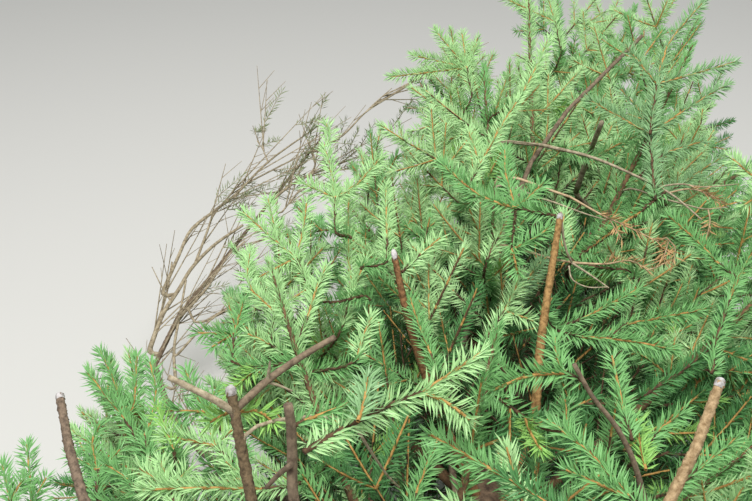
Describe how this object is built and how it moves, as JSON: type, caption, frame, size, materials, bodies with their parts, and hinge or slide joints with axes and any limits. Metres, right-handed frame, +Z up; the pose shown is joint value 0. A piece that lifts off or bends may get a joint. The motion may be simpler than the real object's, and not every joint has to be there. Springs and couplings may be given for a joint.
{
  "type": "felled christmas tree",
  "caption": "Young cut spruce lying on its side, upper boughs clipped short, with a sawn butt, full green crown and some dead grey limbs.",
  "frame": {"origin": "middle of the tree's length and width, on the ground it lies on", "axes": "+Y along the trunk from the sawn butt to the leader, +Z up from the ground"},
  "size_m": [1.1326, 2.24, 0.6442],
  "materials": {
    "bark": "rough bark",
    "bough_bark": "rough bark",
    "dead_wood": "weathered, dry",
    "needles": "waxy needles"
  },
  "bodies": {
    "root": {"bough_1_1": "bough_bark", "bough_1_2": "bough_bark", "bough_1_3": "bough_bark", "bough_3_1": "bough_bark", "bough_3_2": "bough_bark", "bough_3_3": "bough_bark", "bough_3_4": "bough_bark", "bough_3_5": "bough_bark", "bough_4_1": "bough_bark", "bough_clipped_1": "bough_bark", "bough_clipped_2": "bough_bark", "bough_clipped_3": "bough_bark", "bough_clipped_4": "bough_bark", "bough_clipped_5": "bough_bark", "dead_limb_end": "dead_wood", "dead_limb_root": "dead_wood", "dead_stick": "dead_wood", "foliage_10_1": "needles", "foliage_10_2": "needles", "foliage_10_3": "needles", "foliage_1_1": "needles", "foliage_1_2": "needles", "foliage_1_3": "needles", "foliage_2_1": "needles", "foliage_3_1": "needles", "foliage_3_2": "needles", "foliage_3_3": "needles", "foliage_3_4": "needles", "foliage_3_5": "needles", "foliage_4_1": "needles", "foliage_5_1": "needles", "foliage_5_2": "needles", "foliage_5_3": "needles", "foliage_5_4": "needles", "foliage_6_1": "needles", "foliage_6_2": "needles", "foliage_6_3": "needles", "foliage_6_4": "needles", "foliage_6_5": "needles", "foliage_6_6": "needles", "foliage_7_1": "needles", "foliage_7_2": "needles", "foliage_7_3": "needles", "foliage_7_4": "needles", "foliage_7_5": "needles", "foliage_8_1": "needles", "foliage_8_2": "needles", "foliage_8_3": "needles", "foliage_8_4": "needles", "foliage_9_1": "needles", "foliage_9_2": "needles", "foliage_9_3": "needles", "foliage_9_4": "needles", "foliage_clipped_1": "needles", "foliage_clipped_2": "needles", "foliage_clipped_3": "needles", "foliage_clipped_4": "needles", "foliage_clipped_5": "needles", "leader": "needles", "trunk": "bark"}
  },
  "joints": []
}
